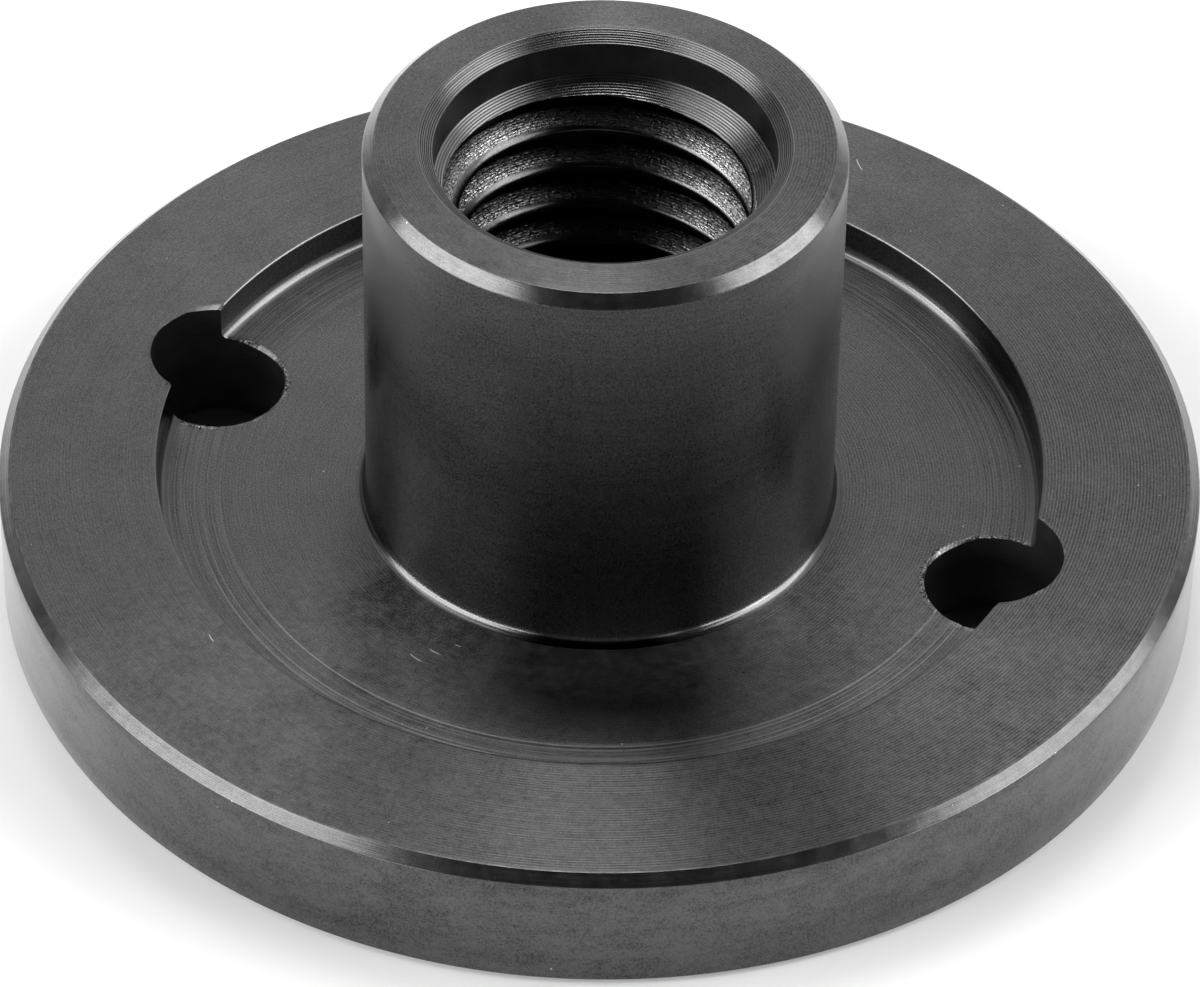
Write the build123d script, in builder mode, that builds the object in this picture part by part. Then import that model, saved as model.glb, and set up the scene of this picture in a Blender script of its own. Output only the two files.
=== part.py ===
from build123d import *
import math
import os

# Lock nut of an angle grinder: one turned steel piece, standing on its flange with the hub upward.
# Millimetres. +Z is the spindle axis and the origin is the centre of the flange's bottom face.

# Flange
flange_diameter = 51.2
flange_thickness = 5.95
flange_top_chamfer = 0.45
flange_bottom_chamfer = 0.3

# Relief turned into the flange's top face, around the hub
recess_diameter = 37.8
recess_depth = 1.8
recess_corner_radius = 0.4

# Hub, measured up from the flange's top face
hub_diameter = 20.0
hub_rise = 16.95
hub_chamfer = 0.5
hub_root_radius = 0.4

# Tapped bore for the M14 x 2 spindle: the wall is the crest of the thread, left by the tapping drill
thread_diameter = 14.0
thread_pitch = 2.0
tapping_allowance = 0.1
thread_bottom_bevel = 1.2

# Counterbore in the hub's end, which lets the thread start below the face; its floor is the drill's cone
counterbore_clearance = 0.1
counterbore_depth = 2.0
drill_point_angle = 120.0

# Bevel round the mouth of the counterbore, a little wider than it is deep
mouth_bevel_width = 0.58
mouth_bevel_depth = 0.44

# Two holes through the flange for the pins of a spanner, half in the recess and half in the land
spanner_pitch_diameter = 35.4
spanner_pin_diameter = 5.0
spanner_pin_clearance = 0.4
spanner_hole_bevel = 0.25
spanner_hole_count = 2

flange_radius = flange_diameter / 2
recess_radius = recess_diameter / 2
recess_floor = flange_thickness - recess_depth
hub_radius = hub_diameter / 2
hub_top = flange_thickness + hub_rise
thread_crest_radius = (thread_diameter - thread_pitch + tapping_allowance) / 2
bottom_mouth_radius = thread_crest_radius + thread_bottom_bevel
counterbore_radius = thread_diameter / 2 + counterbore_clearance
counterbore_floor = hub_top - counterbore_depth
mouth_radius = counterbore_radius + mouth_bevel_width
mouth_bevel_foot = hub_top - mouth_bevel_depth
drill_cone_drop = (counterbore_radius - thread_crest_radius) / math.tan(math.radians(drill_point_angle / 2))
spanner_hole_radius = spanner_pin_diameter / 2 + spanner_pin_clearance


def rings(radius, height):
    """The round edges of the part being built that have this radius and lie at this height."""
    return (
        edges()
        .filter_by(GeomType.CIRCLE)
        .filter_by(lambda edge: math.isclose(edge.radius, radius, abs_tol=1e-4))
        .filter_by(lambda edge: math.isclose(edge.center().Z, height, abs_tol=1e-4))
    )


with BuildPart() as lock_nut:
    # Half section as it is turned, with sharp corners outside and the bore's steps and bevels inside
    with BuildSketch(Plane.XZ):
        with BuildLine():
            Polyline(
                (bottom_mouth_radius, 0),
                (flange_radius, 0),
                (flange_radius, flange_thickness),
                (recess_radius, flange_thickness),
                (recess_radius, recess_floor),
                (hub_radius, recess_floor),
                (hub_radius, hub_top),
                (mouth_radius, hub_top),
                (counterbore_radius, mouth_bevel_foot),
                (counterbore_radius, counterbore_floor),
                (thread_crest_radius, counterbore_floor - drill_cone_drop),
                (thread_crest_radius, thread_bottom_bevel),
                close=True,
            )
        make_face()
    revolve(axis=Axis.Z)

    # The tool's nose leaves a small radius in both corners of the recess
    fillet(rings(recess_radius, recess_floor), recess_corner_radius)
    fillet(rings(hub_radius, recess_floor), hub_root_radius)

    # Bevels on the outer corners
    chamfer(rings(flange_radius, flange_thickness), flange_top_chamfer)
    chamfer(rings(flange_radius, 0), flange_bottom_chamfer)
    chamfer(rings(hub_radius, hub_top), hub_chamfer)

    # Spanner holes, drilled through across the step between recess and land
    with PolarLocations(spanner_pitch_diameter / 2, spanner_hole_count):
        Hole(radius=spanner_hole_radius)
    chamfer(rings(spanner_hole_radius, 0), spanner_hole_bevel)

lock_nut.part.label = "lock_nut"

os.makedirs("parts", exist_ok=True)
export_step(lock_nut.part, "parts/lock_nut.step")
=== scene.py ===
import math

import bmesh
import bpy
import numpy as np
from mathutils import Matrix, Vector


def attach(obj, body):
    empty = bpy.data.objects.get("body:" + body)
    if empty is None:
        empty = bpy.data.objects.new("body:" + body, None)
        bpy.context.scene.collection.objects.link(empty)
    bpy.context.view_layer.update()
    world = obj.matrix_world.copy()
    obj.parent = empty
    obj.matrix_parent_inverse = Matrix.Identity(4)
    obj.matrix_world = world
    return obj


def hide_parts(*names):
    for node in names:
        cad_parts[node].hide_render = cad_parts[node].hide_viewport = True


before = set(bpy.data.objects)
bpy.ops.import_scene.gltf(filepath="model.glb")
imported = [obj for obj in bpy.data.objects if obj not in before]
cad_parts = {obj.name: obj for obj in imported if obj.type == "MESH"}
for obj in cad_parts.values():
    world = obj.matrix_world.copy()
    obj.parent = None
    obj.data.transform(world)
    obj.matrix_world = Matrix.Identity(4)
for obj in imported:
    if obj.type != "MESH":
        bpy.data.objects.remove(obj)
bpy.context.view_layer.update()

# The nut's sizes, in millimetres, as in the part's source
MM = 0.001
FLANGE_R, FLANGE_TOP = 25.6, 5.95
TOP_CHAMFER, BOTTOM_CHAMFER = 0.45, 0.3
RECESS_R, FLOOR_Z, CORNER = 18.9, 4.15, 0.4
HUB_R, HUB_TOP, HUB_CHAMFER, HUB_ROOT = 10.0, 22.9, 0.5, 0.4
MOUTH_R, MOUTH_FOOT = 7.68, 22.46
COUNTERBORE_R, COUNTERBORE_Z = 7.1, 20.9
CREST_R, CONE_FOOT = 6.05, 20.294
BASE_MOUTH_R, BASE_BEVEL = 7.25, 1.2
HOLE_PITCH_R, HOLE_R, HOLE_BEVEL = 17.7, 2.9, 0.25

# The thread: right-handed, and its crest's lower edge stands at THREAD_PHASE over the X axis
PITCH, THREAD_PHASE = 2.0, 17.88
CREST_W, ROOT_R, ROOT_W = 0.2, 7.05, 0.64

TAU = 2 * math.pi
COLUMNS = 224  # facets round the axis


# Smooth noise, the same every run
def hashed(i, j, seed):
    h = np.sin(i * 127.1 + j * 311.7 + seed * 74.7) * 43758.5453
    return h - np.floor(h)


def noise2(x, y, seed, wrap=None):
    """Value noise from -1 to 1. With wrap, x repeats after that many cells."""
    x, y = np.broadcast_arrays(np.asarray(x, float), np.asarray(y, float))
    i, j = np.floor(x), np.floor(y)
    u, v = x - i, y - j
    u, v = u * u * (3 - 2 * u), v * v * (3 - 2 * v)
    i1 = i + 1
    if wrap:
        i, i1 = np.mod(i, wrap), np.mod(i1, wrap)
    low = hashed(i, j, seed) * (1 - u) + hashed(i1, j, seed) * u
    high = hashed(i, j + 1, seed) * (1 - u) + hashed(i1, j + 1, seed) * u
    return 2 * (low * (1 - v) + high * v) - 1


# A mesh is gathered here as points and faces, and welded at the end
points, faces, face_zone = [], [], []


def add(xyz):
    """Adds points, one row each, and returns their numbers."""
    first = sum(len(p) for p in points)
    points.append(np.asarray(xyz, float))
    return np.arange(first, first + len(xyz))


def quads(a, b, zone, closed=False):
    """Quads between two rows of as many points. Their outside is to the right of a, seen towards b."""
    n = len(a)
    for i in range(n if closed else n - 1):
        j = (i + 1) % n
        faces.append((a[i], a[j], b[j], b[i]))
        face_zone.append(zone)


def zipper(a, b, at_a, at_b, zone):
    """Triangles between two rows of different numbers of points, matched by where these lie along them."""
    i = j = 0
    while i < len(a) - 1 or j < len(b) - 1:
        if j == len(b) - 1 or (i < len(a) - 1 and at_a[i + 1] <= at_b[j + 1]):
            faces.append((a[i], a[i + 1], b[j]))
            i += 1
        else:
            faces.append((a[i], b[j + 1], b[j]))
            j += 1
        face_zone.append(zone)


def round_noise(angle, cells, row, seed):
    """Noise along a full turn, with that many cells in it, so that it meets itself."""
    return noise2(np.mod(np.asarray(angle) / TAU + 1e-9, 1) * cells, row, seed, wrap=cells)


def polar(r, angle, z):
    r, angle, z = np.broadcast_arrays(np.asarray(r, float), np.asarray(angle, float), np.asarray(z, float))
    return np.stack([r * np.cos(angle), r * np.sin(angle), z], -1)


# Where the columns stand round the axis
HALF = COLUMNS // 2
NEAR_HOLE = np.array([0, 0.05, 0.12, 0.21, 0.33, 0.48, 0.67, 0.9, 1.2])  # mm from a hole's edge
CROWDED_FROM = HOLE_PITCH_R - HOLE_R - 0.8  # radius from which they crowd at the holes
edge_share = NEAR_HOLE / (math.pi * HOLE_PITCH_R)
graded = np.concatenate([
    edge_share,
    np.linspace(edge_share[-1], 1 - edge_share[-1], HALF - 2 * len(NEAR_HOLE) + 3)[1:-1],
    1 - edge_share[::-1],
])
even = np.linspace(0, 1, HALF + 1)


def half_turn(r, hole_r):
    """Angles of the columns along half a turn, from one spanner hole to the other, at radius r."""
    share = np.clip((r - HUB_R) / (CROWDED_FROM - HUB_R), 0, 1)
    spread = even + (graded - even) * share * share * (3 - 2 * share)
    gap = 0.0
    if hole_r:
        cosine = (r * r + HOLE_PITCH_R ** 2 - hole_r ** 2) / (2 * r * HOLE_PITCH_R)
        gap = math.acos(min(1.0, cosine))
    return gap + (math.pi - 2 * gap) * spread


def ring_radii(hole_r, angles):
    """Radii of the points that stand at these angles round a spanner hole's edge."""
    return np.sqrt(HOLE_PITCH_R ** 2 + hole_r ** 2 + 2 * HOLE_PITCH_R * hole_r * np.cos(angles))


def hole_angle(r, hole_r):
    """Angle round the spanner hole of the point of its edge that lies at radius r."""
    cosine = (r * r - HOLE_PITCH_R ** 2 - hole_r ** 2) / (2 * HOLE_PITCH_R * hole_r)
    return math.acos(max(-1.0, min(1.0, cosine)))


# Small marks of the tools
def feed_marks(distance, pitch, depth, seed, uneven=0.9):
    """Depth of the grooves that a turning tool leaves, by distance along the cut. No two are the same."""
    turn = distance / pitch
    each = 1 - uneven * (0.5 + 0.5 * noise2(np.floor(turn + 0.5), 0, seed))
    return depth * each * (0.5 - 0.5 * np.cos(TAU * turn))


def beside_hole(x, y):
    """The nearer spanner hole's side, the distance from its edge and the angle round it, as on +X."""
    side = np.where(x > 0, 1.0, -1.0)
    dx, dy = x * side - HOLE_PITCH_R, y * side
    return side, np.maximum(np.hypot(dx, dy) - HOLE_R, 0), np.arctan2(dy, dx)


def arc(angle, middle, half):
    """1 at the middle of an arc, falling to 0 at its ends. The arc is given in degrees."""
    off = np.mod(np.degrees(angle) - middle + 180, 360) - 180
    return np.clip(1 - (off / half) ** 2, 0, 1)


def broken_edge(x, y, land):
    """Depth that a scraper has taken off the land or the floor, along one short arc of a hole's edge."""
    side, away, angle = beside_hole(x, y)
    if land:
        return 0.27 * np.maximum(0.34 * arc(angle, -70, 26) - away, 0)
    return 0.8 * np.maximum(0.19 * arc(angle, np.where(side > 0, 150, -113), 30) - away, 0)


def hole_lip(x, y, z):
    """Rise of the floor or land beside a spanner hole, where the drill has pushed up a ragged burr."""
    side, away, angle = beside_hole(x, y)
    ragged = 0.5 * round_noise(angle, 56, side * 5, 3) + 0.5 * round_noise(angle, 163, side * 5, 4)
    height = 0.030 + 0.045 * ragged
    width = 0.13 + 0.06 * round_noise(angle, 88, side * 5, 5)
    burr = np.where(away < 0.6, np.maximum(height, 0.004) * np.exp(-(away / width) ** 2), 0.0)
    depth = broken_edge(x, y, z > 5)
    return np.where(depth > 0, -depth, burr)


def down_wall(z):
    """Share of a dip in the land's edge that is left at height z on the recess's wall."""
    return np.clip((z - FLOOR_Z - CORNER) / (FLANGE_TOP - FLOOR_Z - CORNER), 0, 1)


# The outside, ring by ring from the bore's mouth below to the counterbore
# Each ring: its radius, its height, the cut of the band that leads to it and the radius of the holes there
FACED, TURNED, RIM, BEVEL, BORED, THREAD, DRILLED = range(7)
rings = []


def ring(r, z, zone, hole_r=0.0):
    rings.append((float(r), float(z), zone, hole_r))


def run(radii, heights, zone, hole_r=0.0):
    for r, z in zip(*np.broadcast_arrays(radii, heights)):
        ring(r, z, zone, hole_r)


def corner(before, at, after, radius, zone, hole_r=0.0, steps=3):
    """A small round on the profile's corner: turning never leaves an edge that is truly sharp."""
    before, at, after = Vector(before), Vector(at), Vector(after)
    u, v = (before - at).normalized(), (after - at).normalized()
    half = u.angle(v) / 2
    centre = at + (u + v).normalized() * radius / math.sin(half)
    first = (at + u * radius / math.tan(half) - centre).normalized()
    last = (at + v * radius / math.tan(half) - centre).normalized()
    for k in range(steps + 1):
        spoke = first.slerp(last, k / steps) * radius
        ring(centre.x + spoke.x, centre.y + spoke.y, zone, hole_r)


# Underside
ring(BASE_MOUTH_R, 0, FACED)
run([8.5, 10.5, 12.5, 14.0], 0, FACED)
base_hole_r = HOLE_R + HOLE_BEVEL
base_angles = np.linspace(math.pi, 0, 25)
run(ring_radii(base_hole_r, base_angles), 0, FACED, base_hole_r)
first_base, last_base = len(rings) - len(base_angles), len(rings) - 1
run([21.6, 23.0, 24.4], 0, FACED)
foot, heel = (FLANGE_R - BOTTOM_CHAMFER, 0), (FLANGE_R, BOTTOM_CHAMFER)
toe, brow = (FLANGE_R, FLANGE_TOP - TOP_CHAMFER), (FLANGE_R - TOP_CHAMFER, FLANGE_TOP)
corner((20, 0), foot, heel, 0.06, BEVEL, steps=2)
# Rim
corner(foot, heel, toe, 0.06, BEVEL, steps=2)
run(FLANGE_R, [1.2, 2.4, 3.6, 4.7], RIM)
corner(heel, toe, brow, 0.05, RIM, steps=2)
# Flange's upper chamfer, with the tool's ridges
along = np.linspace(0.08, 0.9, 17)
ridge = feed_marks(along, 0.137, 0.005, 11)
run(FLANGE_R - TOP_CHAMFER * along - ridge * 0.7, FLANGE_TOP - TOP_CHAMFER * (1 - along) - ridge * 0.7,
    BEVEL)
corner(toe, brow, (20, FLANGE_TOP), 0.04, BEVEL)
# Land
run([24.9, 23.9, 22.9, 21.9, 21.1, 20.8, 20.67], FLANGE_TOP, FACED)
LAND_END = RECESS_R + 0.07  # where the broken edge of the recess begins
land_angles = np.linspace(0, hole_angle(LAND_END, HOLE_R), 15)
first_hole_ring = len(rings)
run(ring_radii(HOLE_R, land_angles), FLANGE_TOP, FACED, HOLE_R)
# Recess: broken edge, wall, corner and floor
run(RECESS_R + np.array([0.04, 0.012]), [FLANGE_TOP - 0.012, FLANGE_TOP - 0.04], BEVEL, HOLE_R)
run([RECESS_R], FLANGE_TOP - 0.085, BEVEL, HOLE_R)
run(RECESS_R, [FLANGE_TOP - 0.5, FLANGE_TOP - 0.95, FLOOR_Z + CORNER], TURNED, HOLE_R)
turn = np.radians(np.arange(15, 91, 15))
run(RECESS_R - CORNER + CORNER * np.cos(turn), FLOOR_Z + CORNER - CORNER * np.sin(turn), TURNED, HOLE_R)
band_r = np.arange(RECESS_R - CORNER - 0.065, 16.05, -0.065)
lines = feed_marks(band_r, 0.26, 0.006, 21)
for at, deep in ((16.18, 0.018), (16.98, 0.016), (17.28, 0.014), (17.9, 0.010)):
    lines += deep * np.exp(-((band_r - at) / 0.06) ** 2)
run(band_r, FLOOR_Z - lines, FACED, HOLE_R)
inner_angles = np.linspace(hole_angle(band_r[-1], HOLE_R), math.pi, 12)[1:]
run(ring_radii(HOLE_R, inner_angles), FLOOR_Z, FACED, HOLE_R)
last_hole_ring = len(rings) - 1
run([14.74, 14.65, 14.54, 14.4, 14.1, 13.4, 12.5, 11.6, 10.9, HUB_R + HUB_ROOT], FLOOR_Z, FACED)
# Hub
run(HUB_R + HUB_ROOT - HUB_ROOT * np.sin(turn), FLOOR_Z + HUB_ROOT - HUB_ROOT * np.cos(turn), TURNED)
run(HUB_R, [6.0, 9.0, 12.5, 16.0, 19.5], TURNED)
shoulder, crown = (HUB_R, HUB_TOP - HUB_CHAMFER), (HUB_R - HUB_CHAMFER, HUB_TOP)
corner((HUB_R, 10), shoulder, crown, 0.07, TURNED)
along = np.linspace(0.12, 0.88, 7)
run(HUB_R - HUB_CHAMFER * along, HUB_TOP - HUB_CHAMFER * (1 - along), BEVEL)
corner(shoulder, crown, (8, HUB_TOP), 0.04, BEVEL)
run([9.1, 8.7, 8.2, MOUTH_R + 0.06], HUB_TOP, FACED)
ring(MOUTH_R + 0.02, HUB_TOP - 0.006, BORED)
# Mouth of the bore, where the tool's ridges are plain to see
along = np.linspace(0, 1, 36)[1:]
slant = math.hypot(MOUTH_R - COUNTERBORE_R, HUB_TOP - MOUTH_FOOT)
ridge = feed_marks(along * slant, slant / 7, 0.014, 31, 0.4) * (along < 1)
run(MOUTH_R + (COUNTERBORE_R - MOUTH_R) * along + ridge * 0.6,
    HUB_TOP + (MOUTH_FOOT - HUB_TOP) * along - ridge * 0.8, BORED)
run(COUNTERBORE_R, [22.0, 21.5, COUNTERBORE_Z], BORED)

previous = None
halves = []  # each ring's two rows of points: from +X round by +Y, and from -X round by -Y
for r, z, zone, hole_r in rings:
    angle = half_turn(r, hole_r)
    row = []
    for start in (0.0, math.pi):
        xyz = polar(r, angle + start, z)
        if 14 < r < 21 and abs(z - FLOOR_Z) < 0.05 or z == FLANGE_TOP:
            xyz[:, 2] += hole_lip(xyz[:, 0], xyz[:, 1], z)
        elif hole_r == HOLE_R and z > FLOOR_Z:
            xyz[:, 2] -= broken_edge(xyz[:, 0], xyz[:, 1], True) * down_wall(z)
        row.append(add(xyz))
    halves.append(row)
    if previous is not None:
        for a, b in zip(previous, row):
            quads(b, a, zone)
    previous = row

# The two spanner holes' walls, hung from the edges that they cut
coarse = np.linspace(0, math.pi, 25)
for side in (0, 1):
    centre = np.array([HOLE_PITCH_R, 0.0]) * (1 if side == 0 else -1)
    for upper in (True, False):
        # This half of the hole's edge: the first or last column of one of the two rows of each ring
        row_of, end = (side, 0) if upper else (1 - side, -1)
        cut = range(first_hole_ring, last_hole_ring + 1)
        edge = [halves[k][row_of][end] for k in cut]
        angle = [hole_angle(rings[k][0], HOLE_R) for k in cut]
        height = [rings[k][1] for k in cut]
        facing = 0.0 if side == 0 else math.pi
        sign = 1 if upper else -1

        def wall_point(a, r, z):
            x, y = centre[0] + r * math.cos(sign * a + facing), centre[1] + r * math.sin(sign * a + facing)
            return [x, y, z - float(broken_edge(x, y, True) * down_wall(z))]

        # Points just under the corner of the floor, one for each distinct angle
        distinct, columns = [], []
        for k, a in enumerate(angle):
            if distinct and abs(a - distinct[-1]) < 1e-9:
                columns[-1].append(k)
            else:
                distinct.append(a)
                columns.append([k])
        wall_column = next(i for i, c in enumerate(columns) if len(c) > 1)
        levels = [height[k] for k in columns[wall_column]]
        shelf = FLOOR_Z - 0.45
        grid = []
        for i, (a, c) in enumerate(zip(distinct, columns)):
            ids = [edge[k] for k in c]
            if i < wall_column:
                ids = ids + list(add([wall_point(a, HOLE_R, z) for z in levels]))
            ids.append(add([wall_point(a, HOLE_R, shelf)])[0])
            grid.append(ids)

        def face(*ids):
            faces.append(ids if upper else ids[::-1])
            face_zone.append(DRILLED)

        for i in range(len(grid) - 1):
            a, b = grid[i], grid[i + 1]
            if i + 1 < wall_column:
                for j in range(len(a) - 1):
                    face(a[j], b[j], b[j + 1], a[j + 1])
            elif i + 1 == wall_column:
                face(a[0], b[0], a[1])
                for j in range(1, len(a) - 1):
                    face(a[j], b[j - 1], b[j], a[j + 1])
            else:
                face(a[-2], b[-2], b[-1], a[-1])
        # Down to the bevel on the underside
        upper_row = [g[-1] for g in grid]
        rows = [(distinct, upper_row)]
        for z in (2.6, 1.4, HOLE_BEVEL):
            rows.append((list(coarse), list(add([wall_point(a, HOLE_R, z) for a in coarse]))))
        base = [halves[k][row_of][end] for k in range(last_base, first_base - 1, -1)]
        base_at = [hole_angle(rings[k][0], base_hole_r) for k in range(last_base, first_base - 1, -1)]
        rows.append((base_at, base))
        for (at_a, a), (at_b, b) in zip(rows, rows[1:]):
            start = len(faces)
            zipper(a, b, at_a, at_b, DRILLED)
            if not upper:
                faces[start:] = [f[::-1] for f in faces[start:]]

# The bore: one radius for every angle and height, turned or cut by the tap
FLANK = (PITCH - CREST_W - ROOT_W) / 2
LIP = 0.25  # half the rounded edge, as a share of the flank
MEAN_R = 6.5  # the thread's middle
FINE_FROM = -4  # the lowest turn that can be seen from above


def turned_radius(z):
    """Radius of the bore before tapping."""
    return np.where(
        z > COUNTERBORE_Z, COUNTERBORE_R,
        np.where(
            z > CONE_FOOT,
            CREST_R + (z - CONE_FOOT) * (COUNTERBORE_R - CREST_R) / (COUNTERBORE_Z - CONE_FOOT),
            np.where(z < BASE_BEVEL, BASE_MOUTH_R - z * (BASE_MOUTH_R - CREST_R) / BASE_BEVEL, CREST_R)))


def tapped_radius(angle, z):
    """Radius that the tap cuts, by height above the crest's lower edge. The flank that faces up is torn."""
    s = z - THREAD_PHASE - PITCH * angle / TAU
    turns = np.floor(s / PITCH + 1e-9)
    s = s - turns * PITCH
    up = (s - CREST_W) / FLANK
    down = (PITCH - s) / FLANK
    up = np.where(abs(up) < LIP, (up + LIP) ** 2 / (4 * LIP), up)  # the crest's upper edge is burnished
    share = np.clip(np.minimum(up, down), 0, 1)
    length = (angle + TAU * turns) * MEAN_R  # runs on along the whole thread
    torn = np.clip((up - 0.25) * 5, 0, 1) * np.clip((1.25 - up) * 3, 0, 1)
    rough = 0.016 * noise2(length * 1.1, up * 7, 41) + 0.014 * noise2(length * 3.5, up * 10, 42)
    rough = rough + 0.09 * np.clip(noise2(length * 0.5, up * 3, 44) - 0.45, 0, 1)  # pieces torn right out
    lip = 0.006 * noise2(length * 1.4, 7, 43)
    return CREST_R + (ROOT_R - CREST_R) * share + rough * torn * (share > 0) + lip * (share > 0) * (up < 1)


def bore_radius(angle, z):
    return np.maximum(turned_radius(z), tapped_radius(angle, z))


angles = np.linspace(0, TAU, COLUMNS + 1)

# Cone between counterbore and thread, with the drill's ridges and a ragged edge where the tap broke in
CONE_ROWS = 41
cone_z = np.linspace(COUNTERBORE_Z, CONE_FOOT, CONE_ROWS)
slant = math.hypot(COUNTERBORE_R - CREST_R, COUNTERBORE_Z - CONE_FOOT)
cone_ridge = feed_marks(np.linspace(0, slant, CONE_ROWS), slant / 10, 0.013, 51, 0.5)
cone_ridge[0] = cone_ridge[-1] = 0
cone_rows = []
for z, ridge in zip(cone_z, cone_ridge):
    cone_r = turned_radius(z)
    tapped = tapped_radius(angles[:-1], z)
    wobble = 0.05 * round_noise(angles[:-1], 90, 0, 52) + 0.035 * round_noise(angles[:-1], 170, 1, 53)
    cut = tapped + wobble * (z > CONE_FOOT) > cone_r
    r = np.where(cut, np.maximum(tapped, cone_r), cone_r + ridge * 0.5)
    zz = np.where(cut, z, z - ridge * 0.8)
    if z == COUNTERBORE_Z:
        r = np.full(COLUMNS, COUNTERBORE_R)
    cone_rows.append(add(polar(r, angles[:-1], zz)))
counterbore = np.concatenate([halves[-1][0][:-1], halves[-1][1][:-1]])
quads(cone_rows[0], counterbore, BORED, closed=True)
for a, b in zip(cone_rows, cone_rows[1:]):
    quads(b, a, BORED, closed=True)

# Thread: rows that climb with the helix, cut off level at the cone's foot and at the bottom bevel
root = CREST_W + FLANK
fine = np.concatenate([
    [0, 0.03], CREST_W + FLANK * np.linspace(-LIP, LIP, 7), CREST_W + FLANK * np.linspace(0.55, 1, 6),
    [root + ROOT_W / 2, root + ROOT_W], PITCH - FLANK * np.array([0.66, 0.33, 0.06]),
])
plain = np.concatenate([
    [0, 0.03, 0.17], CREST_W + FLANK * np.linspace(0, 1, 4),
    [root + ROOT_W], PITCH - FLANK * np.array([0.5, 0.06]),
])
first_turn = math.floor((BASE_BEVEL - THREAD_PHASE) / PITCH) - 1
last_turn = math.ceil((CONE_FOOT - THREAD_PHASE) / PITCH)


def thread_column(turn_number, i, rows):
    low = THREAD_PHASE + PITCH * (turn_number + i / COLUMNS)
    s = np.append(rows, PITCH)
    z = np.clip(low + s, BASE_BEVEL, CONE_FOOT)
    return z, bore_radius(angles[i % COLUMNS], z), s


for turn_number in range(first_turn, last_turn + 1):
    rows = fine if turn_number >= FINE_FROM else plain
    above = fine if turn_number + 1 >= FINE_FROM else plain
    before = None
    for i in range(COLUMNS + 1):
        z, r, s = thread_column(turn_number, i, above if i == COLUMNS else rows)
        flat = z[0] == z[-1]  # this column lies wholly past the end of the thread
        if flat and before is not None and before[2]:
            before = None
        ids = add(polar(r, angles[i % COLUMNS], z))
        if before is not None:
            if len(before[0]) == len(ids):
                quads(before[0], ids, THREAD)
            else:
                zipper(before[0], ids, before[1], s, THREAD)
        before = (ids, s, flat)

# Bottom bevel
bottom_z = np.linspace(BASE_BEVEL, 0, 9)
bottom_rows = [
    add(polar(bore_radius(angles[:-1], z) if z > 0 else BASE_MOUTH_R, angles[:-1], z)) for z in bottom_z
]
for a, b in zip(bottom_rows, bottom_rows[1:]):
    quads(b, a, BEVEL, closed=True)


# One mesh of it all
def welded_mesh(name):
    xyz = np.concatenate(points) * MM
    mesh = bpy.data.meshes.new(name)
    bm = bmesh.new()
    verts = [bm.verts.new(p) for p in xyz]
    for ids, zone in zip(faces, face_zone):
        ids = list(dict.fromkeys(int(i) for i in ids))
        if len(ids) < 3:
            continue
        face = bm.faces.new([verts[i] for i in ids])
        face.material_index = zone
        face.smooth = True
    bmesh.ops.remove_doubles(bm, verts=bm.verts, dist=2e-7)
    bmesh.ops.dissolve_degenerate(bm, edges=bm.edges, dist=1e-7)
    loose = [v for v in bm.verts if not v.link_faces]
    bmesh.ops.delete(bm, geom=loose, context="VERTS")
    bmesh.ops.recalc_face_normals(bm, faces=bm.faces)
    bm.to_mesh(mesh)
    bm.free()
    mesh.set_sharp_from_angle(angle=math.radians(26))
    return mesh


body = bpy.data.objects.new("lock_nut_turned", welded_mesh("lock_nut_turned"))
bpy.context.scene.collection.objects.link(body)
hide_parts("lock_nut")
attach(body, "root")

# Steel: each texture is a formula on the object's own coordinates, in millimetres


class Field:
    """A number at every point of a surface, worked out by a material's nodes."""

    def __init__(self, tree, socket):
        self.tree, self.socket = tree, socket

    def math(self, kind, *others):
        node = self.tree.nodes.new("ShaderNodeMath")
        node.operation = kind
        for place, value in zip(node.inputs, (self,) + others):
            if isinstance(value, Field):
                self.tree.links.new(value.socket, place)
            else:
                place.default_value = value
        return Field(self.tree, node.outputs[0])

    def __add__(self, other):
        return self.math("ADD", other)

    def __sub__(self, other):
        return self.math("SUBTRACT", other)

    def __mul__(self, other):
        return self.math("MULTIPLY", other)

    def __truediv__(self, other):
        return self.math("DIVIDE", other)

    __radd__, __rmul__ = __add__, __mul__

    def __rsub__(self, other):
        return self * -1 + other

    def step(self, low, high):
        """0 up to low, 1 from high on, and smooth between. With low above high it falls instead."""
        node = self.tree.nodes.new("ShaderNodeMapRange")
        node.interpolation_type = "SMOOTHSTEP"
        self.tree.links.new(self.socket, node.inputs["Value"])
        node.inputs["From Min"].default_value = min(low, high)
        node.inputs["From Max"].default_value = max(low, high)
        if low > high:
            node.inputs["To Min"].default_value, node.inputs["To Max"].default_value = 1, 0
        return Field(self.tree, node.outputs["Result"])


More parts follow.
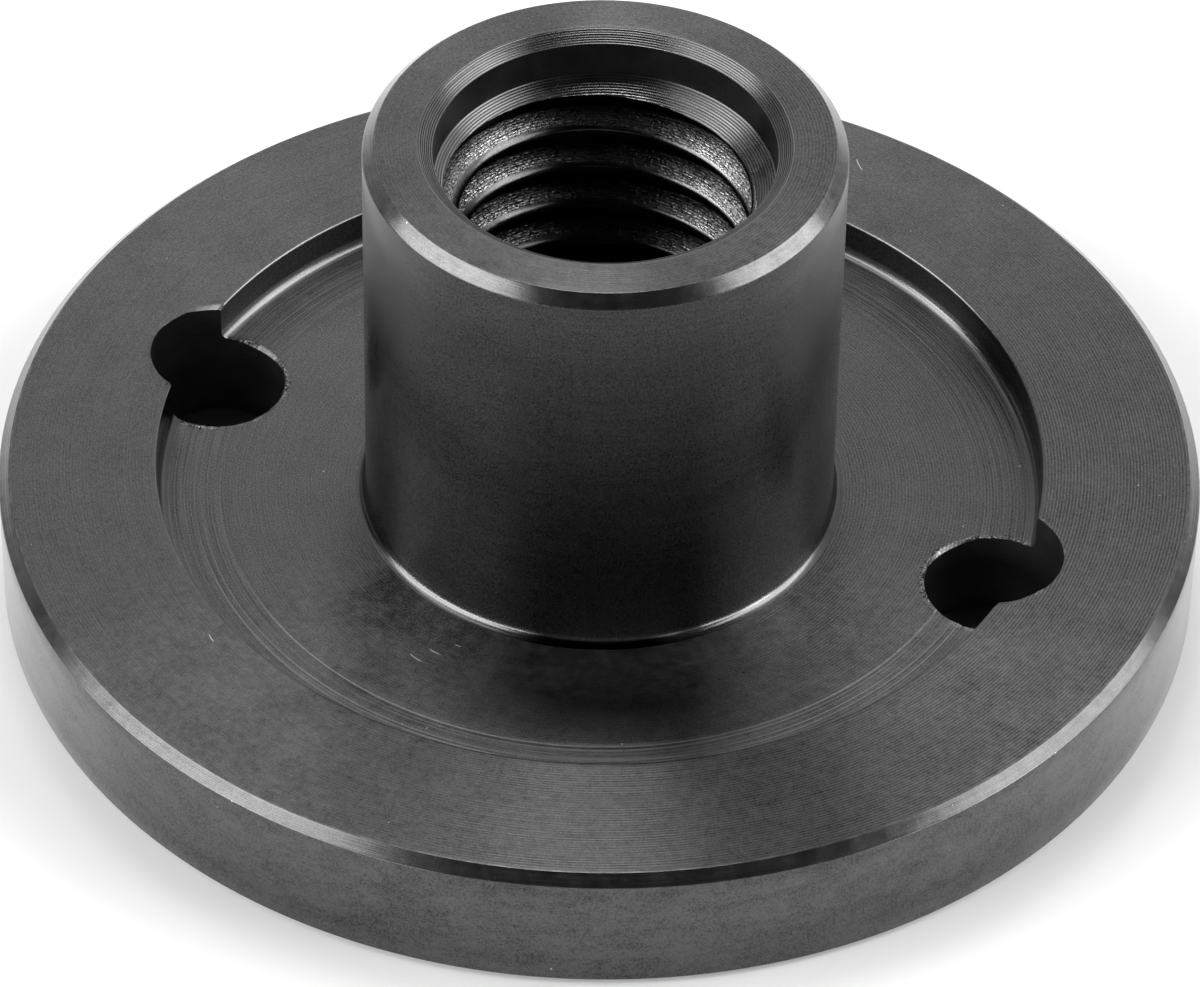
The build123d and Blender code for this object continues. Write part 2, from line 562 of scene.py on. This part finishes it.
class Steel:
    """Blackened steel, with the marks of one kind of cut."""

    def __init__(self, name, roughness, anisotropy=0.0):
        self.material = bpy.data.materials.new(name)
        self.material.use_nodes = True
        self.tree = self.material.node_tree
        self.shader = self.tree.nodes["Principled BSDF"]
        self.roughness = roughness
        self.set("Metallic", 1)
        self.set("Anisotropic", anisotropy)
        self.set("Anisotropic Rotation", 0.25)  # the marks run round the axis
        tangent = self.tree.nodes.new("ShaderNodeTangent")
        self.tree.links.new(tangent.outputs[0], self.shader.inputs["Tangent"])
        place = self.tree.nodes.new("ShaderNodeTexCoord").outputs["Object"]
        split = self.tree.nodes.new("ShaderNodeSeparateXYZ")
        self.tree.links.new(place, split.inputs[0])
        self.x, self.y, self.z = (Field(self.tree, out) * (1 / MM) for out in split.outputs)
        self.r = (self.x * self.x + self.y * self.y).math("SQRT")
        self.cos, self.sin = self.x / self.r, self.y / self.r

    def toward(self, azimuth):
        """Cosine of the angle round the axis from this azimuth, in degrees. The photo is taken from -70.

        Masks made with it are fixed to the nut. Some paint the light and shade of the photo, which other
        light would not give, and the materials below name these.
        """
        azimuth = math.radians(azimuth)
        return self.cos * math.cos(azimuth) + self.sin * math.sin(azimuth)

    def set(self, socket, value):
        self.shader.inputs[socket].default_value = value

    def oiled(self, roughness, film):
        """A patchy film of blacking and oil, which shines where it is seen at a low angle."""
        film = film.math("MAXIMUM", 0).math("MINIMUM", 1)
        self.tree.links.new(film.socket, self.shader.inputs["Coat Weight"])
        self.set("Coat Roughness", roughness)

    def at(self, kind, x, y, z):
        """A texture node fed with a place. It is told by three numbers."""
        node = self.tree.nodes.new(kind)
        joined = self.tree.nodes.new("ShaderNodeCombineXYZ")
        for value, place in zip((x, y, z), joined.inputs):
            if isinstance(value, Field):
                self.tree.links.new(value.socket, place)
            else:
                place.default_value = value
        self.tree.links.new(joined.outputs[0], node.inputs["Vector"])
        node.inputs["Scale"].default_value = 1
        return node

    def noise(self, x, y, z, detail=2.0, rough=0.5):
        """Cloudy noise from about -1 to 1, one cell for each unit of the three numbers."""
        node = self.at("ShaderNodeTexNoise", x, y, z)
        node.inputs["Detail"].default_value = detail
        node.inputs["Roughness"].default_value = rough
        return (Field(self.tree, node.outputs["Fac"]) - 0.5) * 3

    def cloud(self, per_mm, seed, detail=3.0, rough=0.55):
        return self.noise(self.x * per_mm + seed, self.y * per_mm, self.z * per_mm, detail, rough)

    def streaks(self, across, per_mm, cells, seed, detail=2.0):
        """Noise drawn out along the cut: so many cells in a full turn, and so many per mm across it."""
        around = cells / TAU
        return self.noise(self.cos * around + seed, self.sin * around, across * per_mm, detail)

    def wave(self, across, pitch):
        return (across * (TAU / pitch)).math("COSINE")

    def spots(self, per_mm, size, share, seed):
        """Small specks: 1 in the middle of each, and 0 between them. Only a share of the cells has one."""
        node = self.at("ShaderNodeTexVoronoi", self.x * per_mm + seed, self.y * per_mm, self.z * per_mm)
        pick = self.tree.nodes.new("ShaderNodeSeparateColor")
        self.tree.links.new(node.outputs["Color"], pick.inputs[0])
        chosen = Field(self.tree, pick.outputs[0]).step(1 - share, 1 - share + 0.02)
        limit = Field(self.tree, pick.outputs[1]) * 0.7 + 0.3
        distance = Field(self.tree, node.outputs["Distance"]) / limit
        return distance.step(size * per_mm, size * per_mm * 0.4) * chosen

    def edge(self, radius, height, width):
        """1 on a round edge of the nut, fading to 0 at a distance from it."""
        dr, dz = self.r - radius, self.z - height
        return (dr * dr + dz * dz).math("SQRT").step(width, 0)

    def circle(self, radius, width):
        """1 on a fine circle round the axis."""
        return (self.r - radius).math("ABSOLUTE").step(width, 0)

    def scratch(self, x, y, angle, length, width=0.035):
        """1 on a short scratch across a level face, from x, y on at that angle, in degrees."""
        u, v = math.cos(math.radians(angle)), math.sin(math.radians(angle))
        along = self.x * u + self.y * v - (x * u + y * v)
        off = self.y * u - self.x * v - (y * u - x * v) + along * (length - along) * 0.15 / length
        ends = along.step(-0.03, 0.1) * along.step(length, length - 0.15)
        return off.math("ABSOLUTE").step(width, 0) * ends

    def hole(self):
        """The nearer spanner hole's side, the distance from its edge and the place round it, as on +X."""
        side = self.x.math("SIGN")
        u, v = self.x * side - HOLE_PITCH_R, self.y * side
        from_middle = (u * u + v * v).math("SQRT")
        return side, from_middle - HOLE_R, u / from_middle, v / from_middle

    def finish(self, grey, rough, height):
        """Joins colour, roughness and the height of the surface, in millimetres, to the shader."""
        grey = grey.math("MAXIMUM", 0.01).math("MINIMUM", 0.8)
        rough = rough.math("MAXIMUM", 0.08).math("MINIMUM", 0.7)
        self.tree.links.new(grey.socket, self.shader.inputs["Base Color"])
        self.tree.links.new(rough.socket, self.shader.inputs["Roughness"])
        node = self.tree.nodes.new("ShaderNodeBump")
        node.inputs["Distance"].default_value = MM
        node.inputs["Strength"].default_value = 1
        self.tree.links.new(height.socket, node.inputs["Height"])
        self.tree.links.new(node.outputs[0], self.shader.inputs["Normal"])
        return self.material


def faced():
    """Land, floor of the recess, hub's end and underside: facing rings, blotches, specks and scratches."""
    m = Steel("faced", 0.34, 0.88)
    blotch = m.cloud(0.45, 3, 2, 0.6)
    mottle = m.cloud(2.2, 13, 2, 0.7)
    grain = m.cloud(14, 5, 1)
    feed = m.wave(m.r + 0.02 * m.streaks(m.r, 1.5, 3, 8, 0), 0.14)
    fine = m.streaks(m.r, 11, 20, 11, 0)
    ahead = m.toward(-70)
    right, front = m.toward(20).step(-0.2, 0.9), ahead.step(0.1, 0.6)
    coarse = 0.11 * right + 0.16 * m.toward(-10).step(0.3, 0.95) * m.r.step(18, 20)
    above = m.z.step(2, 3)
    land = m.z.step(5, 5.5)
    floor = m.z.step(5, 4.5) * above
    band = m.r.step(15.9, 16.2) * m.r.step(18.7, 18.5) * floor

    # Painted after the photo's light: at the hub's root, on the land's front and on the rubbed band
    root = 1.3 * m.toward(-65).step(0.91, 0.985) - 0.5 * m.toward(-110.4).step(0.942, 0.977)
    sheen = 0.22 * ahead.step(0.975, 1) - 0.17 * ahead.step(0.86, 0.95)
    shine = root * m.r.step(15, 11) * floor + sheen * m.r.step(18.5, 19.5) * land
    shine = shine + 0.4 * band * m.toward(-60).step(0.9, 0.97)
    # Painted highlight: bright fine circles over the floor's grooves and rubbed streaks on its band, drawn
    # on the front half only
    circles = (m.circle(16.16, 0.05) + 0.8 * m.circle(17.32, 0.04) + 0.6 * m.circle(17.02, 0.04)) * front
    rubbed_and_highlight = m.streaks(m.r, 15, 5, 71, 0).step(0.1, 0.9) * m.r.step(16.1, 16.4) * m.r.step(17.7, 17.3)
    circles = (circles + 1.1 * rubbed_and_highlight * ahead.step(0.5, 0.85)) * floor

    # Specks, pits, dust, worn edges and scratches
    nicks = m.spots(0.9, 0.06, 0.22, 21)
    pits = m.spots(1.3, 0.05, 0.12, 33)
    dust = m.spots(2.4, 0.035, 0.12, 45) * front * above
    worn = m.edge(FLANGE_R - TOP_CHAMFER, FLANGE_TOP, 0.10) + m.edge(HUB_R - HUB_CHAMFER, HUB_TOP, 0.07)
    worn = worn * m.streaks(m.z, 1, 260, 41, 0).step(-0.3, 0.8)
    knocks = m.scratch(-3.63, -12.82, -22, 0.74) + m.scratch(-2.95, -12.27, -15, 0.59)
    knocks = (knocks + m.scratch(-2.09, -11.62, -8, 0.36)) * floor
    knocks = knocks + (m.scratch(-11.08, -16.5, -42, 0.56) + m.scratch(3.85, 22.67, -53, 0.9)) * land

    # Beside the spanner holes: metal that is torn or scraped bright along some arcs of the edge
    side, away, u, v = m.hole()
    near_right, near_left = side.step(0, 1), side.step(0, -1)

    def along(middle, half):
        """1 over an arc of the hole's edge, given in degrees."""
        middle, end = math.radians(middle), math.cos(math.radians(half))
        return (u * math.cos(middle) + v * math.sin(middle)).step(end, 0.5 + 0.5 * end)

    flakes = m.cloud(9, 51, 1)
    torn = near_right * (along(95, 45) + along(190, 42)) + near_left * (along(-150, 30) + along(82, 22))
    torn = torn * (away + 0.12 * flakes).step(0.28, 0.1) * (floor + 0.5 * m.z.step(4.5, 5))
    scraped = (near_right * along(150, 30) + near_left * along(-113, 30)) * away.step(0.17, 0.11) * floor
    scraped = scraped + near_left * along(-70, 26) * away.step(0.4, 0.05) * land

    # Painted shade: the half towards azimuth 20 is darker. The rings there stand out in stronger colour,
    # partly coarser turning and partly painted light, and the mottling is painted stronger on the front
    # half as a mottled highlight
    tone = 1.05 + shine - 0.11 * right + 0.14 * blotch + (0.05 + 0.22 * front) * mottle
    tone = tone + (0.06 + coarse) * feed + (0.07 + 0.12 * band) * fine
    tone = tone + (0.5 + 0.15 * floor - 0.15 * front) * grain
    grey = 0.102 * tone + 0.5 * nicks + 0.2 * dust - 0.07 * pits
    grey = grey + 0.12 * worn + 0.14 * circles + 0.45 * knocks
    grey = grey + torn * (0.28 * flakes.step(0.1, 0.6) - 0.09 * flakes.step(-0.1, -0.4)) + 0.08 * scraped
    rough = m.roughness + 0.05 * blotch + 0.07 * mottle + 0.2 * nicks
    height = (0.0014 + 0.006 * coarse) * feed + (0.0016 + 0.0030 * band) * fine
    return m.finish(grey, rough, height)


def turned():
    """Hub and the recess's wall: faint marks of turning, and painted highlight on the round corners at the
    hub's root and the recess's floor.
    """
    m = Steel("turned", 0.28, 0.75)
    blotch = m.noise(m.x * 0.5 + 7, m.y * 0.5, m.z * 0.8, 2, 0.6)
    mottle = m.cloud(2.6, 13, 1, 0.6)
    grain = m.cloud(14, 2, 1)
    fine = m.streaks(m.z, 9, 16, 14, 0)
    broad = m.streaks(m.z, 1.1, 6, 23, 1)
    nicks = m.spots(0.7, 0.08, 0.2, 27)
    # Painted after the photo's light: the hub's root black in front and bright beside it, the recess's
    # corner bright at the back, and the hub's upper sides lighter than its front
    front, back = m.toward(-70), m.toward(110).step(0.1, 0.7)
    recess = m.r.step(15, 17)
    wall = recess * m.z.step(FLOOR_Z + CORNER - 0.05, FLOOR_Z + CORNER + 0.1)
    nose = m.r.step(HUB_R, HUB_R + 0.06) - wall
    lit = 1 - nose * front.step(0.93, 0.985)
    # Painted highlight on the round corners: at the hub's root towards the front and the back, and at the
    # recess's corner at the back
    rubbed_and_highlight = nose * lit * (recess * back + (1 - recess) * front.math("ABSOLUTE").step(0.3, 0.62))
    texture = 0.08 * blotch + 0.04 * mottle + 0.08 * fine + 0.65 * grain * (1 - 0.7 * nose) + 0.05 * broad
    upper, side = m.z.step(14, 21), front.step(0.9, 0)
    # Painted sheen and painted shade: the coat is heavier on the hub's upper sides and back, and thinner
    # below 8 to 11 mm and on the recess's wall. The recess's wall is also darker
    film = (0.8 + upper * (0.55 * side - 0.35)) * (1 - 0.4 * m.z.step(11, 8)) * (1 - 0.6 * wall)
    m.oiled(0.26, film * (1 + texture) * lit)
    grey = (0.042 * lit + 0.1 * rubbed_and_highlight + upper * (0.05 * side - 0.014) - 0.012 * wall) * (1 + texture)
    rough = m.roughness - 0.08 * nose + 0.26 * upper * side
    rough = rough + 0.015 * blotch + 0.01 * mottle + 0.04 * grain + 0.15 * nicks
    return m.finish(grey + 0.2 * nicks, rough, 0.0006 * fine)


def rim():
    """The flange's edge, which hands have polished and marked."""
    m = Steel("rim", 0.2, 0.3)
    blotch = m.noise(m.x * 0.45 + 7, m.y * 0.45, m.z * 0.9, 3, 0.65)
    mottle = m.cloud(2.6, 3, 2, 0.65)
    grain = m.cloud(11, 2, 1)
    fine = m.streaks(m.z, 9, 16, 14, 0)
    nicks = m.spots(1.1, 0.06, 0.3, 27)
    texture = 0.35 * blotch + 0.2 * mottle + 0.05 * fine + 0.5 * grain
    m.oiled(0.22, 0.85 * (1 + texture))
    grey = 0.045 * (1 + texture) + 0.4 * nicks
    rough = m.roughness + 0.05 * blotch + 0.03 * mottle + 0.06 * grain + 0.15 * nicks
    return m.finish(grey, rough, 0.0008 * fine)


def ridged(m, share, count):
    """The tool's ridges across a slope that the mesh has too: 1 on each ridge, 0 between them."""
    return m.wave(share, 1 / count) * -0.5 + 0.5


def bevel():
    """Chamfers and broken edges, where handling has worn the blackening to bare metal."""
    m = Steel("bevel", 0.24, 0.3)
    blotch = m.cloud(1.6, 9, 2, 0.6)
    grain = m.cloud(14, 4, 1)
    fine = m.streaks(m.z, 16, 30, 19, 0)
    line = ridged(m, (m.z - (FLANGE_TOP - TOP_CHAMFER)) / TOP_CHAMFER, 7.3) * m.r.step(24, 25)
    nicks = m.spots(1.6, 0.07, 0.2, 6)
    m.oiled(0.24, 0.9 * (1 + 0.2 * blotch + 0.15 * grain))
    # Painted after the photo's light: the recess's broken edge shines at the back only
    recess_edge = m.r.step(19.5, 19) * m.r.step(17, 18) * m.toward(110).step(0.1, 0.7)
    base = 0.085 + 0.051 * m.r.step(11, 10) + 0.14 * recess_edge
    grey = base * (1 + 0.2 * blotch + 0.10 * fine + 0.2 * grain + 0.25 * (line - 0.5)) + 0.3 * nicks
    rough = m.roughness + 0.05 * blotch
    return m.finish(grey, rough, 0.0012 * fine)


def bored():
    """Mouth, counterbore and the drill's cone, with bright lines painted along the tool's grooves as
    highlight.
    """
    m = Steel("bored", 0.24, 0.4)
    blotch = m.cloud(1.1, 12, 2, 0.6)
    grain = m.cloud(14, 15, 1)
    fine = m.streaks(m.z, 14, 20, 31, 0)
    mouth = ridged(m, (MOUTH_R - m.r) / (MOUTH_R - COUNTERBORE_R), 7)
    mouth = mouth * m.z.step(MOUTH_FOOT - 0.03, MOUTH_FOOT)
    cone = ridged(m, (COUNTERBORE_R - m.r) / (COUNTERBORE_R - CREST_R), 10)
    cone = cone * m.z.step(COUNTERBORE_Z + 0.01, COUNTERBORE_Z - 0.02)
    wall = m.z.step(COUNTERBORE_Z + 0.02, COUNTERBORE_Z + 0.08) * m.z.step(MOUTH_FOOT, MOUTH_FOOT - 0.06)
    ragged = m.cloud(6, 52, 1)
    burr = (m.r - 0.06 * ragged).step(CREST_R + 0.36, CREST_R + 0.26) * ragged.step(-0.4, 0.3)
    burr = burr * m.toward(114).step(0.9, 0.97)
    nicks = m.spots(2.2, 0.06, 0.14, 16)
    # Painted highlight: the bright lines of mouth and cone follow grooves that the mesh has too
    grey = 0.07 * (1 + 0.14 * blotch + 0.15 * grain) + (0.12 * mouth + 0.17 * cone) * (0.8 + 0.3 * fine)
    grey = grey - 0.02 * wall + 0.35 * nicks + 0.2 * burr
    rough = m.roughness + 0.11 * wall + 0.05 * blotch
    return m.finish(grey, rough, 0.0005 * fine - 0.004 * mouth - 0.002 * cone)


def thread():
    """Thread cut by a tap, which has torn the flanks in layers and burnished the crests."""
    m = Steel("thread", 0.22)
    blotch = m.cloud(1.0, 14, 2, 0.6)
    # Painted after the photo's light: flanks dark at the back, and narrower on the left
    left, back = m.toward(200).step(-0.1, 0.6), m.toward(110).step(0.75, 0.97)
    flank = (m.r - 0.17 * left).step(CREST_R + 0.04, CREST_R + 0.2) * m.r.step(7.04, 6.9)
    torn = m.noise(m.cos * 22, m.sin * 22, m.r * 10, 1, 0.6)
    layer = m.streaks(m.z, 12, 14, 61, 1)
    cell = m.at("ShaderNodeTexVoronoi", m.cos * 30, m.sin * 30, m.r * 16 + 0.3 * torn)
    cell.feature = "DISTANCE_TO_EDGE"
    crack = Field(m.tree, cell.outputs["Distance"]).step(0.16, 0.0)
    rows = m.wave(m.r + 0.04 * torn, 0.11) * flank
    deep = m.r.step(6.4, 6.9)
    grain = m.cloud(10, 15, 1)
    # Painted light and shade: the torn flanks are up to four times brighter, partly as bare torn metal and
    # partly as painted highlight. Their cracks are painted dark as shade, and the roots are painted shade,
    # darker all round
    grey = 0.12 * (1 + 0.15 * blotch + 0.3 * grain) * (1 + flank * (0.9 * torn + 3.0))
    grey = grey * (1 - 0.6 * crack * flank) * (1 + 0.35 * rows)
    grey = grey * (1 - 0.75 * deep) * (1 + 0.3 * deep * layer) * (1 - 0.8 * back)
    rough = m.roughness + 0.04 * blotch + (0.05 + 0.04 * torn) * flank
    height = 0.003 * rows + (0.008 * torn - 0.008 * crack) * flank + 0.0015 * layer
    return m.finish(grey, rough, height)


def drilled():
    """The spanner holes' walls, left as they were drilled."""
    m = Steel("drilled", 0.65)
    blotch = m.cloud(0.9, 18, 3, 0.6)
    fine = m.noise(m.x * 1.5 + 4, m.y * 1.5, m.z * 14, 2)
    # Painted light: the walls get lighter towards the underside, from 3 mm down
    grey = (0.045 + 0.09 * m.z.step(3, 0.3)) * (1 + 0.2 * blotch + 0.2 * fine)
    return m.finish(grey, m.roughness + 0.06 * blotch, 0.002 * fine)


for make in (faced, turned, rim, bevel, bored, thread, drilled):
    body.data.materials.append(make())

# Camera, fitted to the edges in the photograph. Lengths are in millimetres, the picture's own in pixels
PHOTO_W, PHOTO_H = 1200, 987
TURN, ELEVATION, ROLL = math.radians(19.7), math.radians(41.222), math.radians(1.116)
DISTANCE, SIDESTEP, AIM_Z = 274.535, 0.281, 10
FOCAL_PX, CENTRE_PX = 6496.94, (607.94, 379.77)
SENSOR = 36
forward = Vector((0, math.cos(ELEVATION), -math.sin(ELEVATION)))
upward = Vector((0, math.sin(ELEVATION), math.cos(ELEVATION)))
right = math.cos(ROLL) * Vector((1, 0, 0)) + math.sin(ROLL) * upward
top = -math.sin(ROLL) * Vector((1, 0, 0)) + math.cos(ROLL) * upward
place = (Vector((SIDESTEP, 0, AIM_Z)) - DISTANCE * forward) * MM
camera = bpy.data.objects.new("camera", bpy.data.cameras.new("camera"))
bpy.context.scene.collection.objects.link(camera)
axes = Matrix((right, top, -forward)).transposed().to_4x4()
camera.matrix_world = Matrix.Rotation(TURN, 4, "Z") @ Matrix.Translation(place) @ axes
camera.data.sensor_fit = "HORIZONTAL"
camera.data.sensor_width = SENSOR
camera.data.lens = FOCAL_PX * SENSOR / PHOTO_W
camera.data.shift_x = (PHOTO_W / 2 - CENTRE_PX[0]) / PHOTO_W
camera.data.shift_y = (CENTRE_PX[1] - PHOTO_H / 2) / PHOTO_W
camera.data.clip_start, camera.data.clip_end = 0.01, 10
bpy.context.scene.camera = camera

# Floor and light
floor = bpy.data.objects.new("floor", bpy.data.meshes.new("floor"))
floor.data.from_pydata([(-2, -2, 0), (2, -2, 0), (2, 2, 0), (-2, 2, 0)], [], [(0, 1, 2, 3)])
bpy.context.scene.collection.objects.link(floor)
paper = bpy.data.materials.new("paper")
paper.use_nodes = True
tree = paper.node_tree
place_on_paper = tree.nodes.new("ShaderNodeTexCoord").outputs["Object"]
off_centre = tree.nodes.new("ShaderNodeVectorMath")
off_centre.operation = "LENGTH"
tree.links.new(place_on_paper, off_centre.inputs[0])
# Painted shadow: the paper is dark under the nut, out to 20 to 24 mm from its middle, so that the spanner
# holes stay black
painted_shadow = Field(tree, off_centre.outputs["Value"]).step(24 * MM, 20 * MM)
tone = 0.9 - 0.7 * painted_shadow
tree.links.new(tone.socket, tree.nodes["Principled BSDF"].inputs["Base Color"])
tree.nodes["Principled BSDF"].inputs["Roughness"].default_value = 0.9
floor.data.materials.append(paper)
world = bpy.data.worlds.new("studio")
bpy.context.scene.world = world
world.use_nodes = True
world.node_tree.nodes["Background"].inputs["Color"].default_value = (1, 1, 1, 1)
world.node_tree.nodes["Background"].inputs["Strength"].default_value = 0.02
bpy.context.scene.view_settings.view_transform = "Standard"

LIGHTS_AT = 0.7


def softbox(name, azimuth, elevation, width, height, radiance):
    """A flat light that faces the nut. Azimuth starts at the camera's right, and the sizes are angles."""
    azimuth, elevation = math.radians(azimuth) + TURN, math.radians(elevation)
    lamp = bpy.data.lights.new(name, "AREA")
    lamp.shape = "RECTANGLE"
    lamp.size = 2 * LIGHTS_AT * math.tan(math.radians(width / 2))
    lamp.size_y = 2 * LIGHTS_AT * math.tan(math.radians(height / 2))
    lamp.energy = radiance * math.pi * lamp.size * lamp.size_y
    side = Vector((-math.sin(azimuth), math.cos(azimuth), 0))
    out = Vector((math.cos(azimuth), math.sin(azimuth), math.tan(elevation))).normalized()
    turn = Matrix((side, out.cross(side), out)).transposed().to_4x4()
    box = bpy.data.objects.new(name, lamp)
    box.matrix_world = Matrix.Translation(out * LIGHTS_AT) @ turn
    box.visible_camera = False
    bpy.context.scene.collection.objects.link(box)


softbox("left", 194, 37, 52, 28, 4.1)
softbox("left_low", 210, 9.6, 68, 19, 7.4)
softbox("right", -2, 28, 40, 54, 3.6)
softbox("right_low", -27, 11, 33, 21, 5.6)
softbox("back", 93, 18.5, 123, 36, 0.42)
softbox("back_right", 61, 43, 92, 48, 0.94)
softbox("back_left", 153.5, 57, 24, 31, 1.54)
softbox("front", 277.5, 18.4, 53, 19, 1.8)
softbox("strip", 96.7, 70.8, 12.3, 16.6, 8.2)
